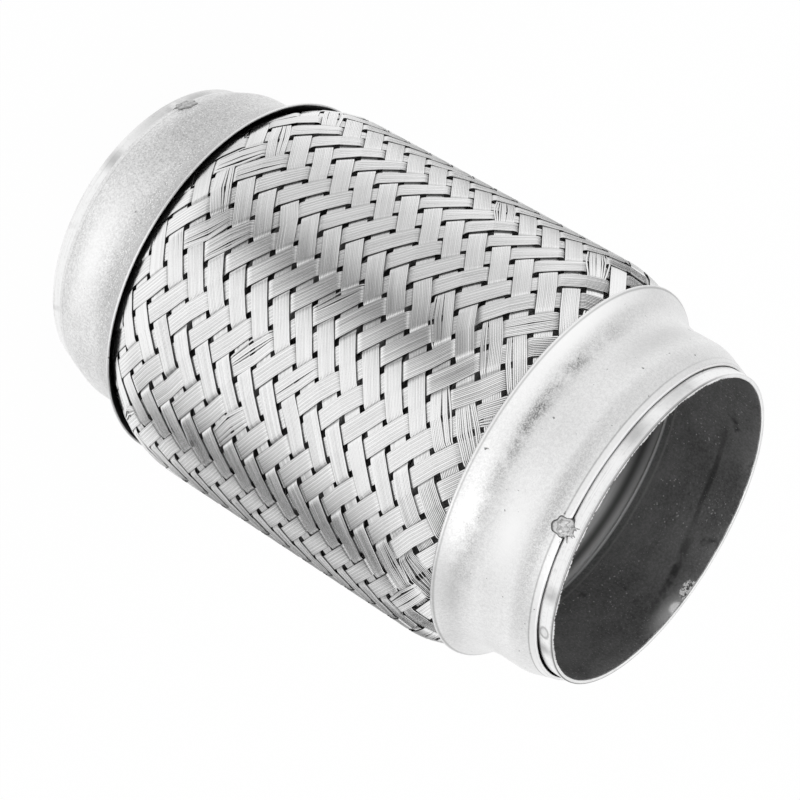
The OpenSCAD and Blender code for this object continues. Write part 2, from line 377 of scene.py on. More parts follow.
@dataclass(frozen=True)
class CapSteel(Surface):
    """Pale blasted sheet with grain, pits and its end's marks; lip highlight and inner shade are painted.
    """

    grain_dark: float = 0.76
    bright: float = 0.98
    roughness: float = 0.32
    fine_scale: float = 3000.0
    grit_scale: float = 1400.0
    cloud_scale: float = 60.0
    pit_scale: float = 640.0
    lip_s: float = 5.0
    # Colour of the inner face, painted dark as shade.
    inside: float = 0.06

    def paint(self, graph: Graph) -> None:
        """Mixes the grain from two noises and a cloud, and lays marks, lip, pits and inside over it.

        The lip gets a painted highlight and a painted shade line at its end, and the inner face is painted
        dark as shade.

        Args:
            graph: Tree to fill.
        """
        site = self.site(graph)
        fine = graph.noise(site.place, self.fine_scale, 2.0, 0.7)
        grit = graph.noise(site.place, self.grit_scale, 2.0, 0.6)
        cloud = graph.noise(site.place, self.cloud_scale, 3.0)
        pits = graph.noise(site.place, self.pit_scale, 2.0, 0.6).ramp(0.705, 0.78)
        grain = fine.ramp(0.36, 0.62) * 0.55 + grit.ramp(0.35, 0.65) * 0.45
        share = grain * 0.75 + cloud.ramp(0.3, 0.7) * 0.25
        shade = graph.mix(share, grey(self.grain_dark), grey(self.bright))
        shade = self.marks(site, shade, fine)
        lip_highlight = self.lip_highlight(site)
        # Painted highlight on the lip, and a painted shade line at its end.
        shade = graph.mix(site.past(self.lip_s, self.lip_s - 0.4) * lip_highlight * 0.85, shade, grey(0.99))
        shade = graph.mix(site.along(self.lip_s, 0.3) * lip_highlight * 0.5, shade, grey(0.25))
        shade = graph.mix(pits * 0.85, shade, grey(0.1))
        # The inner face is painted dark as shade.
        shade = graph.mix(graph.attribute("inner"), shade, grey(self.inside))
        graph.metal({
            "Base Color": shade,
            "Roughness": self.roughness + 0.1 * cloud + 0.12 * grit,
            "Normal": graph.bump(fine * 0.5 + grit * 0.5, 0.6, 0.12),
        })

    def marks(self, site: Site, shade: Expr, fine: Expr) -> Expr:
        """Lays the marks of one end over the plain grain."""
        raise NotImplementedError

    def lip_highlight(self, site: Site) -> Value:
        """How strongly the lip's painted highlight is laid, from 0 to 1."""
        raise NotImplementedError


@dataclass(frozen=True)
class UpperCapSteel(CapSteel):
    """The upper cap's steel."""

    # Patches of painted shade along the flare, on the taper and far side; a painted highlight on the neck.
    smudge: Patch = (21.3, 2.4, -106.0, 46.0)
    shade_trail: Patch = (22.2, 3.6, -58.0, 28.0)
    taper: Patch = (7.4, 2.6, -76.0, 50.0)
    neck: Patch = (13.8, 6.0, -66.0, 24.0)
    far_side_shade: Patch = (14.5, 7.0, -144.0, 32.0)
    # Where a painted shade line runs by the skirt's edge.
    rim_s: float = 26.4

    def marks(self, site: Site, shade: Expr, fine: Expr) -> Expr:
        """Lays the upper cap's marks over the plain grain.

        Args:
            site: Tree and place.
            shade: Colour of the plain grain.
            fine: Fine grain from 0 to 1.

        Returns:
            The colour with painted shade along the flare, broken by the grain, painted highlights on the
            skirt and neck, painted shade on the taper, the neck's far side and the skirt's low side, and a
            painted shade line by the skirt's edge.
        """
        graph = site.graph
        speckle = 0.35 + 0.65 * fine.ramp(0.62, 0.4)
        patchy = graph.noise(site.place, 190.0, 4.0, 0.7).ramp(0.3, 0.6)
        # Painted highlights on the skirt and neck; painted shade on the far side, the low side and the
        # taper.
        skirt = site.past(23.2, 25.0) * site.angle.near(-128.0, 56.0)
        low = site.past(21.2, 23.5) * site.angle.near(-44.0, 24.0)
        shade = graph.mix(graph.largest(site.patch(*self.far_side_shade), low) * 0.42, shade, grey(0.45))
        shade = graph.mix(graph.largest(site.patch(*self.neck), skirt) * 0.9, shade, grey(0.99))
        shade = graph.mix(site.patch(*self.taper) * speckle * 0.6, shade, grey(0.42))
        # Painted shade along the flare, broken by the grain, and a painted shade line by the skirt's edge.
        shade = graph.mix(site.patch(*self.shade_trail) * patchy * speckle * 0.5, shade, grey(0.3))
        smudge = site.patch(*self.smudge) * patchy * speckle * 0.95
        return graph.mix(graph.largest(smudge, site.along(self.rim_s, 0.28) * 0.4), shade, grey(0.14))

    def lip_highlight(self, site: Site) -> Value:
        """Painted highlight all round but on the far side."""
        return 1.0 - 0.8 * site.angle.near(-165.0, 60.0)


@dataclass(frozen=True)
class LowerCapSteel(CapSteel):
    """The lower cap's steel."""

    grain_dark: float = 0.54
    scorch: Patch = (5.8, 3.4, -133.5, 6.5)
    # Places of a painted highlight on the neck and of a painted highlight line by the skirt's edge.
    neck: Patch = (12.0, 6.0, -72.0, 34.0)
    rim_s: float = 26.9

    def marks(self, site: Site, shade: Expr, fine: Expr) -> Expr:
        """Lays the lower cap's marks over the plain grain.

        Args:
            site: Tree and place.
            shade: Colour of the plain grain.
            fine: Fine grain from 0 to 1.

        Returns:
            The colour with painted shade and painted glints on the side and skirt, a painted highlight
            on the neck and along the skirt's edge, and a scorch by the weld.
        """
        graph = site.graph
        # Painted shade on the side and skirt with painted glints; painted highlights on the neck and edge.
        side = site.angle.near(-132.0, 46.0)
        dull = graph.largest(side * 0.8, site.past(16.0, 20.5)) * site.past(6.2, 8.5)
        painted_glints = graph.cells(site.place, 1600.0).ramp(0.34, 0.18)
        specks = fine.ramp(0.46, 0.3)
        shade = graph.mix(site.patch(*self.neck) * 0.75, shade, grey(1.0))
        shade = graph.mix(dull * (0.32 + 0.5 * specks), shade, grey(0.32))
        bright = graph.largest(dull * painted_glints, site.along(self.rim_s, 0.4))
        shade = graph.mix(bright * 0.9, shade, grey(1.0))
        return graph.mix(site.patch(*self.scorch) * fine.ramp(0.62, 0.42) * 0.7, shade, grey(0.12))

    def lip_highlight(self, site: Site) -> Value:
        """A faint painted highlight."""
        return 0.3


@dataclass(frozen=True)
class SleeveSteel(Surface):
    """Satin tube with a few stains outside, a bright ragged rim, and a dark wall inside.

    The wall's dark is partly painted shade of the bore.

    A stain is its angle, its station in millimetres, its reach in degrees and its depth.
    """

    bore_r: float
    end_s: float
    stains: tuple[tuple[float, float, float, float], ...]
    outside: float = 0.95
    # Base of the wall inside; its dark is partly painted shade of the bore.
    inside: float = 0.185
    stain_l: float = 3.4
    crumbs: Patch = (0.6, 3.4, 77.0, 7.0)
    spot: Patch = (0.7, 2.2, 69.0, 4.0)

    def paint(self, graph: Graph) -> None:
        """Outside, rim and inside are told apart by radius and station; the upper mouth has a burn mark.

        The burn mark carries painted light: a pale glow and a painted highlight spot.

        Args:
            graph: Tree to fill.
        """
        site = self.site(graph)
        fine = graph.noise(site.place, 1500.0, 3.0, 0.6)
        ragged = graph.noise(site.place, 500.0, 4.0, 0.7) * (0.7 * MM)
        inner = site.radius.ramp((self.bore_r + 0.45) * MM, (self.bore_r + 0.4) * MM)
        deep = (site.station - ragged).ramp(0.05 * MM, 0.15 * MM) * inner
        under = (graph.mix(deep, self.skin(site, fine), self.wall(site)), 1.0 - 0.4 * deep, fine * 0.2)
        color, shine, height = self.burn(site, deep, under) if self.end is End.UPPER else under
        graph.metal({
            "Base Color": color,
            "Roughness": 0.3 + 0.24 * deep + 0.1 * fine,
            "Metallic": shine,
            "Normal": graph.bump(height, 0.5, 0.1),
        })

    def burn(self, site: Site, deep: Expr, under: tuple[Expr, Expr, Expr]) -> tuple[Expr, Expr, Expr]:
        """Lays the burn mark of the second weld over the upper mouth's wall, with painted light on it.

        Args:
            site: Tree and place.
            deep: 1 on the wall and 0 elsewhere.
            under: Colour, metallic share and bump height without the mark.

        Returns:
            The same three with a pale glow of painted light, a crusty splash and a painted highlight spot.
        """
        graph = site.graph
        color, shine, height = under
        crust = graph.noise(site.place, 1300.0, 4.0, 0.7)
        crumbs = site.patch(*self.crumbs) * deep
        splash = (crumbs * 2.0 * crust).ramp(0.3, 0.5)
        # A painted highlight spot, and painted light as a pale glow near the weld.
        spot = (site.patch(*self.spot) * deep).ramp(0.1, 0.6)
        halo_light = site.angle.near(67.0, 16.0) * site.past(6.0, 0.4) * deep
        color = graph.mix(halo_light * 0.6, color, grey(0.8))
        color = graph.mix(splash, color, graph.mix(crust.ramp(0.42, 0.56), grey(0.1), grey(1.0)))
        color = graph.mix(spot, color, grey(1.0))
        shine = shine - graph.largest(halo_light * 0.4, splash * 0.6, spot * 0.6)
        return color, shine, height + crumbs * crust

    def skin(self, site: Site, fine: Expr) -> Expr:
        """Colour outside.

        Args:
            site: Tree and place.
            fine: Fine grain from 0 to 1.

        Returns:
            Brushed satin with smudges and stains, the lower end's broad one a painted dark reflection; on
            the upper end also painted shadow by the cap's lip, a ring-shaped stain and a painted shade
            line along the mouth's edge.
        """
        graph, angle = site.graph, site.angle
        smudge = graph.noise(graph.stretched(site.place, (1.0, 1.0, 0.5)), 130.0, 3.0, 0.6)
        brushed = graph.noise(graph.stretched(site.place, (60.0, 60.0, 3200.0)), 1.0, 2.0)
        patchy = smudge.ramp(0.2, 0.5)
        dull = smudge.ramp(0.56, 0.74) * 0.3 + fine.ramp(0.5, 0.75) * 0.2 + brushed.ramp(0.5, 0.75) * 0.25
        skin = graph.mix(dull, grey(self.outside), grey(0.4))
        # Stains; on the lower end the broad one is a painted dark reflection.
        for middle, along, reach, depth in self.stains:
            spot = site.patch(along, self.stain_l, middle, reach) * patchy
            skin = graph.mix(spot * depth, skin, grey(0.16))
        if self.end is End.LOWER:
            return skin
        # Painted shadow in the gap under the cap's lip.
        groove_shadow = graph.largest(angle.near(-16.0, 30.0), angle.near(-76.0, 14.0)) * 0.75 + 0.25
        skin = graph.mix(site.past(3.0, 3.5) * groove_shadow, skin, grey(0.02))
        across = (angle + 36.5) * (self.bore_r * MM * math.pi / 180)
        aside = site.station - 2.0 * MM
        ring = graph.math("SQRT", across * across * 0.7 + aside * aside * 1.6)
        stain = ring.near(1.3 * MM, 0.6 * MM) + ring.ramp(1.4 * MM, 0.4 * MM) * 0.3
        skin = graph.mix(stain * 0.5 * patchy, skin, grey(0.14))
        # Painted shade line along the mouth's outer edge.
        edge = site.radius.near((self.bore_r + 0.86) * MM, 0.26 * MM) * site.past(0.5, 0.3)
        return graph.mix(edge * abs(angle + 45.0).ramp(118.0, 96.0) * 0.85, skin, grey(0.05))

    def wall(self, site: Site) -> Expr:
        """Colour inside.

        Args:
            site: Tree and place.

        Returns:
            Smeared dark grey, partly painted shade, with specks, drawing lines, a slanting row of dark
            spots and painted highlight lines at its inner end.
        """
        graph, place, angle = site.graph, site.place, site.angle
        clear = graph.noise(place, 80.0, 2.0)
        grain = graph.noise(place, 1600.0, 3.0, 0.7)
        specks = graph.cells(place, 820.0).ramp(0.19, 0.1) * clear.ramp(0.48, 0.6)
        dust = graph.cells(place, 1400.0).ramp(0.22, 0.1) * graph.noise(place, 48.0, 3.0).ramp(0.38, 0.54)
        blots = graph.noise(graph.stretched(place, (70.0, 70.0, 110.0)), 1.0, 4.0, 0.65)
        spots = graph.noise(place, 150.0, 3.0, 0.6)
        drawn = graph.noise(graph.stretched(place, (1500.0, 1500.0, 40.0)), 1.0, 1.0)
        share = blots.ramp(0.25, 0.75) * 0.55 + drawn * 0.15 + grain.ramp(0.3, 0.7) * 0.4
        share = share + site.past(12.0, 24.0) * 0.25
        # The wall's dark is partly painted shade of the bore.
        wall = graph.mix(share, grey(self.inside * 0.4), grey(self.inside * 1.45))
        line = graph.math("MINIMUM", (angle - 62.0) * (0.115 * MM) + 4.2 * MM, 9.2 * MM)
        away = abs(site.station - line)
        row = away.ramp(1.0 * MM, 0.3 * MM) * angle.near(116.0, 32.0) * 0.8
        smears = away.ramp(1.6 * MM, 0.4 * MM) * angle.near(78.0, 30.0) * spots.ramp(0.45, 0.6)
        dark = graph.largest(row, smears, spots.ramp(0.64, 0.75))
        wall = graph.mix(dark * 0.75, wall, grey(0.02))
        # Painted highlight lines at the sleeve's inner end and at its relief step.
        end_highlights = site.along(self.end_s - 0.45, 0.6) + site.along(self.end_s - 2.6, 0.5) * 0.15
        wall = graph.mix(end_highlights * 0.95, wall, grey(0.9))
        wall = graph.mix(dust * 0.6, wall, grey(0.5))
        return graph.mix(specks * 0.6, wall, grey(0.8))


@dataclass(frozen=True)
class BellowsSteel(Surface):
    """Thin dull formed sheet in painted light and shade, with a dark ring past the sleeve and black
    crests.
    """

    crest_r: float
    level: float = 1.0
    # The crests and the ring are painted dark as shade.
    crest_shade_level: float = 0.03
    metallic: float = 0.25
    shade_ring_s: float = 28.7
    shade_ring_reach: float = 2.4

    def paint(self, graph: Graph) -> None:
        """Cloudy tone with lines round the axis, a soft dark ring, and nearly black outer crests.

        Painted light and shade: one side, and a band past the sleeve on it, are lighter, the ring is
        darker, and the outer crests are nearly black, as the shade seen through the braid.

        Args:
            graph: Tree to fill.
        """
        site = self.site(graph)
        # Painted shade: the outer crests go nearly black, as the shade seen through the braid.
        crest_shade = site.radius.ramp((self.crest_r - 0.25) * MM, (self.crest_r - 0.15) * MM)
        # Painted light past the sleeve and on one side, and a ring of painted shade past the sleeve.
        painted_light = site.past(29.6, 31.2) * site.angle.near(84.0, 28.0)
        ring = site.along(self.shade_ring_s, self.shade_ring_reach) * 0.85 * (1.0 - painted_light)
        side = site.angle.near(70.0, 56.0)
        cloud = graph.noise(site.place, 80.0, 3.0)
        lines = graph.noise(graph.stretched(site.place, (8.0, 8.0, 2200.0)), 1.0, 2.0)
        share = graph.largest(0.8 * side + 0.2 * cloud, painted_light)
        tone = graph.mix(share, grey(self.level * 0.25), grey(self.level))
        graph.metal({
            "Base Color": graph.mix(graph.largest(crest_shade, ring), tone, grey(self.crest_shade_level)),
            "Roughness": 0.5 + 0.14 * lines,
            "Metallic": self.metallic,
            "Normal": graph.bump(lines, 0.1, 0.03),
        })


@dataclass(frozen=True)
class WeldMetal(Finish):
    """Grey weld bead, painted paler on its lumps and nearly black in its folds, as light and shade."""

    level: float
    fold: float

    def paint(self, graph: Graph) -> None:
        """Tone by the stored height of the lumps, a line in the folds round them, and a fine crust.

        The height sets painted light and shade: the lumps' tops pale, the folds and the line round them
        dark.

        Args:
            graph: Tree to fill.
        """
        crust = graph.noise(graph.place(), 1400.0, 4.0, 0.65)
        lump = graph.attribute("tone")
        # Painted light and shade by height: pale lumps, dark folds and a dark line round the lumps.
        color = graph.mix(lump.ramp(0.0, 0.16), grey(self.fold), grey(self.level))
        color = graph.mix(lump.near(0.42, 0.06) * 0.6, color, grey(self.fold))
        graph.metal({
            "Base Color": graph.mix(crust.ramp(0.45, 0.62) * 0.6, color, grey(0.22)),
            "Roughness": 0.36 + 0.2 * crust,
            "Normal": graph.bump(crust, 0.4, 0.1),
        })


def solid(name: str, points: np.ndarray, faces: Sequence[np.ndarray], crease: float = 40.0,
          stored: dict[str, np.ndarray] | None = None) -> bpy.types.Object:
    """Makes a closed mesh whose faces point outwards.

    The products of each triangle's first corner with the cross product of the other two add up to six
    times the volume. All faces are turned round where that sum is below 0.

    Args:
        name: Name of the object and its mesh.
        points: Places in millimetres, with the last axis holding x, y and z.
        faces: Arrays of point numbers, one row per face, each array with its own number of corners.
        crease: Angle in degrees past which an edge is sharp.
        stored: Numbers kept at the points, by attribute name.

    Returns:
        The object, linked to the scene.
    """
    flat = points.reshape(-1, 3)
    fans = [np.stack([f[:, [0] * (f.shape[1] - 2)], f[:, 1:-1], f[:, 2:]], -1) for f in faces]
    triangles = np.concatenate([fan.reshape(-1, 3) for fan in fans])
    a, b, c = (flat[triangles[:, n]] for n in range(3))
    if np.einsum("ij,ij->", a, np.cross(b, c)) < 0:
        faces = [f[:, ::-1] for f in faces]
    corners = np.concatenate([f.ravel() for f in faces]).astype(np.int32)
    counts = np.concatenate([np.full(len(f), f.shape[1]) for f in faces])
    starts = np.concatenate([[0], np.cumsum(counts)[:-1]]).astype(np.int32)
    mesh = bpy.data.meshes.new(name)
    mesh.vertices.add(len(flat))
    mesh.vertices.foreach_set("co", (flat * MM).astype(np.float32).ravel())
    mesh.loops.add(len(corners))
    mesh.loops.foreach_set("vertex_index", corners)
    mesh.polygons.add(len(counts))
    mesh.polygons.foreach_set("loop_start", starts)
    mesh.update(calc_edges=True)
    mesh.shade_smooth()
    mesh.set_sharp_from_angle(angle=math.radians(crease))
    for key, numbers in (stored or {}).items():
        layer = mesh.attributes.new(key, "FLOAT", "POINT")
        layer.data.foreach_set("value", numbers.astype(np.float32).ravel())
    made = bpy.data.objects.new(name, mesh)
    bpy.context.scene.collection.objects.link(made)
    return made


def polar(radius: np.ndarray | float, turn: np.ndarray | float, height: np.ndarray | float) -> np.ndarray:
    """Points at a radius, an angle in radians and a height, all spread to one shape."""
    return np.stack(np.broadcast_arrays(radius * np.cos(turn), radius * np.sin(turn), height), -1)


def full_turn(steps: int) -> np.ndarray:
    """Angles in radians of even steps round the axis, as a column."""
    return np.linspace(0, 2 * np.pi, steps, endpoint=False)[:, None]


def ring_faces(rows: int, columns: int) -> np.ndarray:
    """Faces of a grid of points that closes on itself both ways, as a ring's skin does."""
    index = np.arange(rows * columns).reshape(rows, columns)
    ahead = np.roll(index, -1, axis=0)
    corners = [index, ahead, np.roll(ahead, -1, axis=1), np.roll(index, -1, axis=1)]
    return np.stack(corners, -1).reshape(-1, 4)


def arc(middle: tuple[float, float], radius: float | np.ndarray, start: float, end: float,
        count: int) -> np.ndarray:
    """Points on an arc in a profile's plane, from one angle to another in degrees."""
    turn = np.radians(np.linspace(start, end, count))
    return np.stack([middle[0] + radius * np.cos(turn), middle[1] + radius * np.sin(turn)], -1)


def smooth_noise(rng: np.random.Generator, angle: np.ndarray, waves: Sequence[int]) -> np.ndarray:
    """Noise round a circle: a sum of cosines of the angle in radians, one for each number of waves."""
    parts = [rng.normal() * np.cos(n * angle + rng.uniform(0, 2 * np.pi)) for n in waves]
    return np.sum(parts, axis=0) / math.sqrt(len(parts))


def finish_piece(piece: bpy.types.Object, material: bpy.types.Material, node: str) -> None:
    """Gives a new piece its material and its body, and hides the solid that it stands for.

    Args:
        piece: The new piece.
        material: The finish's material.
        node: Name of the solid that the piece replaces.
    """
    piece.data.materials.append(material)
    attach(piece, BODY)
    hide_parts(node)
    LOG.info("%s: %d faces for %s", piece.name, len(piece.data.polygons), node)


@dataclass(frozen=True)
class Pipe:
    """Sizes that several pieces share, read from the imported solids."""

    length: float
    bore_r: float
    sleeve_r: float
    sleeve_l: float
    sleeve_out: float
    skirt_s: float

    @classmethod
    def from_frame(cls, record: dict[str, Any]) -> Pipe:
        """Reads the boxes of the lower end's pieces and the stated bore."""
        sleeve_low, sleeve_high = (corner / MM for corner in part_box("lower_inner_sleeve"))
        cap_low, cap_high = (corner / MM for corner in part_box("lower_end_cap"))
        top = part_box("upper_inner_sleeve")[1] / MM
        bore = next(m for m in record["mounts"] if m["name"] == "lower_mouth")
        return cls(
            length=top.z - sleeve_low.z,
            bore_r=bore["dims"]["r_mm"],
            sleeve_r=sleeve_high.x,
            sleeve_l=sleeve_high.z,
            sleeve_out=cap_low.z,
            skirt_s=cap_high.z,
        )

    def station(self, height: np.ndarray) -> np.ndarray:
        """Distance from the nearer mouth."""
        return np.minimum(height, self.length - height)


@dataclass
class EndCap:
    """Pressed collar: a lip closed on the sleeve, a taper, a plain neck and a flared skirt."""

    pipe: Pipe
    end: End
    sheet: float = 1.2
    lip_share: float = 0.7
    lip_gap: float = 0.12
    neck_r: float = 42.2
    taper: float = 20.0
    taper_bend_r: float = 8.0
    flare_l: float = 10.6
    skirt_rise: float = 5.0
    edge_t: float = 0.6
    open_side: float = -25.0
    lip_open: float = 0.17
    lip_wave: float = 0.05
    lip_run: float = 0.07
    lip_reach: float = 4.0
    skirt_wave: float = 0.06
    skirt_reach: float = 6.0
    inner_points: int = 12
    steps: int = 480
    seed: int = 10

    def outline(self) -> np.ndarray:
        """Closed profile of radius and station, out along the outer face and back along the inner one."""
        out_s = self.pipe.sleeve_out
        lip_in = self.pipe.sleeve_r + self.lip_gap
        lip_t = self.lip_share * self.sheet
        lip_r = self.pipe.sleeve_r + lip_t + self.lip_gap / 2
        slope = math.radians(self.taper)
        drop = self.taper_bend_r * (1 - math.cos(slope))
        taper_s = out_s + (self.neck_r - lip_r - drop) / math.tan(slope)
        bend_s = taper_s + self.taper_bend_r * math.sin(slope)
        bend = (self.neck_r - self.taper_bend_r, bend_s)
        flare_r = (self.flare_l ** 2 + self.skirt_rise ** 2) / (2 * self.skirt_rise)
        turn = math.asin(self.flare_l / flare_r)
        sweep = math.degrees(turn)
        flare_s = self.pipe.skirt_s - (flare_r + self.sheet / 2) * math.sin(turn) - self.sheet / 2
        flare = (self.neck_r + flare_r, flare_s)
        edge_r = flare_r + self.edge_t / 2
        edge = (flare[0] - edge_r * math.cos(turn), flare_s + edge_r * math.sin(turn))
        inner_r = flare_r + np.linspace(self.edge_t, self.sheet, self.inner_points - 4)
        corner = lip_t / 2
        return np.concatenate([
            arc((lip_in + corner * 0.4, out_s + corner * 0.4), corner * 0.4, 180, 270, 4),
            arc((lip_r - corner, out_s + corner), corner, -90, -self.taper, 5),
            arc(bend, self.taper_bend_r, -self.taper, 0, 8),
            arc(flare, flare_r, 180, 180 - sweep, 14),
            arc(edge, self.edge_t / 2, -sweep, 180 - sweep, 7)[1:-1],
            arc(flare, inner_r, 180 - sweep, 180, self.inner_points - 4),
            arc(bend, self.taper_bend_r - self.sheet, 0, -self.taper, 4),
        ])

    def build(self) -> bpy.types.Object:
        """Carries the profile round the axis, with waves that put the lip and the skirt out of true.

        The lip also stands open on one side, by a cosine of the angle from there.

        Returns:
            The cap.
        """
        rng = self.end.random(self.seed)
        profile = self.outline()
        turn = full_turn(self.steps)
        by_lip = np.clip(1 - (profile[:, 1] - self.pipe.sleeve_out) / self.lip_reach, 0, 1)
        by_skirt = np.clip(1 - (self.pipe.skirt_s - profile[:, 1]) / self.skirt_reach, 0, 1)
        radius = profile[:, 0] + self.lip_wave * smooth_noise(rng, turn, (3, 5, 8, 13)) * by_lip
        radius = radius + self.lip_open * (1 + np.cos(turn - math.radians(self.open_side))) * by_lip
        radius = radius + self.skirt_wave * smooth_noise(rng, turn, (2, 3, 5)) * by_skirt
        station = profile[:, 1] + self.lip_run * smooth_noise(rng, turn, (2, 5, 9, 14)) * by_lip
        points = polar(radius, turn, self.end.height(station, self.pipe.length))
        rows, columns = points.shape[:2]
        inner = np.broadcast_to(np.arange(columns) >= columns - self.inner_points, (rows, columns))
        name = f"{self.end.value}_cap_shell"
        return solid(name, points, [ring_faces(rows, columns)], 40.0, {"inner": inner})

    def dress(self, piece: bpy.types.Object) -> None:
        """Blasted steel with the marks of this end."""
        kind = UpperCapSteel if self.end is End.UPPER else LowerCapSteel
        finish = kind(f"{self.end.value}_cap_blasted", Slot.CAP, self.pipe.length, self.end)
        finish_piece(piece, finish.material(), f"{self.end.value}_end_cap")


@dataclass
class InnerSleeve:
    """Plain tube that takes the mating pipe, with a sheared, slightly ragged mouth."""

    pipe: Pipe
    end: End
    round_r: float = 0.22
    relief_l: float = 3.0
    relief_depth: float = 0.3
    burr: float = 0.2
    burr_l: float = 0.5
    burr_w: float = 0.4
    steps: int = 720
    seed: int = 20
    upper_stains: tuple[tuple[float, float, float, float], ...] = (
        (-112.0, 2.2, 10.0, 0.5), (-134.0, 2.0, 16.0, 0.35),
        (-53.0, 1.8, 5.0, 0.5), (-27.5, 2.2, 5.0, 0.5))
    # On the lower end the broad patch at -140 degrees is a painted dark reflection; the narrow one is a
    # stain.
    lower_stains: tuple[tuple[float, float, float, float], ...] = (
        (-102.5, 2.0, 7.0, 0.5), (-140.0, 2.0, 42.0, 0.5))

    def outline(self) -> np.ndarray:
        """Closed profile of radius and station, from the mouth's face out, along and back in the bore."""
        inner, outer = self.pipe.bore_r, self.pipe.sleeve_r
        lip = self.round_r
        end = self.pipe.sleeve_l
        return np.concatenate([
            arc((inner + lip, lip), lip, 180, 270, 4),
            arc((outer - lip, lip), lip, 270, 360, 4),
            [[outer, 2.0], [outer, 6.0], [outer, end - lip], [outer - lip, end]],
            [[inner + self.relief_depth + lip, end], [inner + self.relief_depth, end - lip]],
            [[inner, end - self.relief_l], [inner, end / 2], [inner, 4.0]],
        ])

    def build(self) -> bpy.types.Object:
        """Carries the profile round the axis; waves make the mouth's inner edge ragged, most in front.

        Returns:
            The sleeve.
        """
        rng = self.end.random(self.seed)
        profile = self.outline()
        turn = full_turn(self.steps)
        by_mouth = np.clip(1 - profile[:, 1] / self.burr_l, 0, 1)
        by_mouth = by_mouth * (profile[:, 0] < self.pipe.bore_r + self.burr_w)
        near_side = np.clip(-1.3 * np.sin(turn), 0.2, 1)
        ragged = smooth_noise(rng, turn, (13, 29, 47, 71, 103, 157, 229, 307)) * near_side
        radius = profile[:, 0] + self.burr * ragged * by_mouth
        station = profile[:, 1] + self.burr * np.maximum(ragged, 0) * by_mouth
        points = polar(radius, turn, self.end.height(station, self.pipe.length))
        return solid(f"{self.end.value}_sleeve_tube", points, [ring_faces(*points.shape[:2])], 50.0)

    def dress(self, piece: bpy.types.Object) -> None:
        """Satin outside, and dark inside, partly as painted shade."""
        stains = self.upper_stains if self.end is End.UPPER else self.lower_stains
        finish = SleeveSteel(f"{self.end.value}_sleeve_satin", Slot.SLEEVE, self.pipe.length, self.end,
                             self.pipe.bore_r, self.pipe.sleeve_l, stains)
        finish_piece(piece, finish.material(), f"{self.end.value}_inner_sleeve")


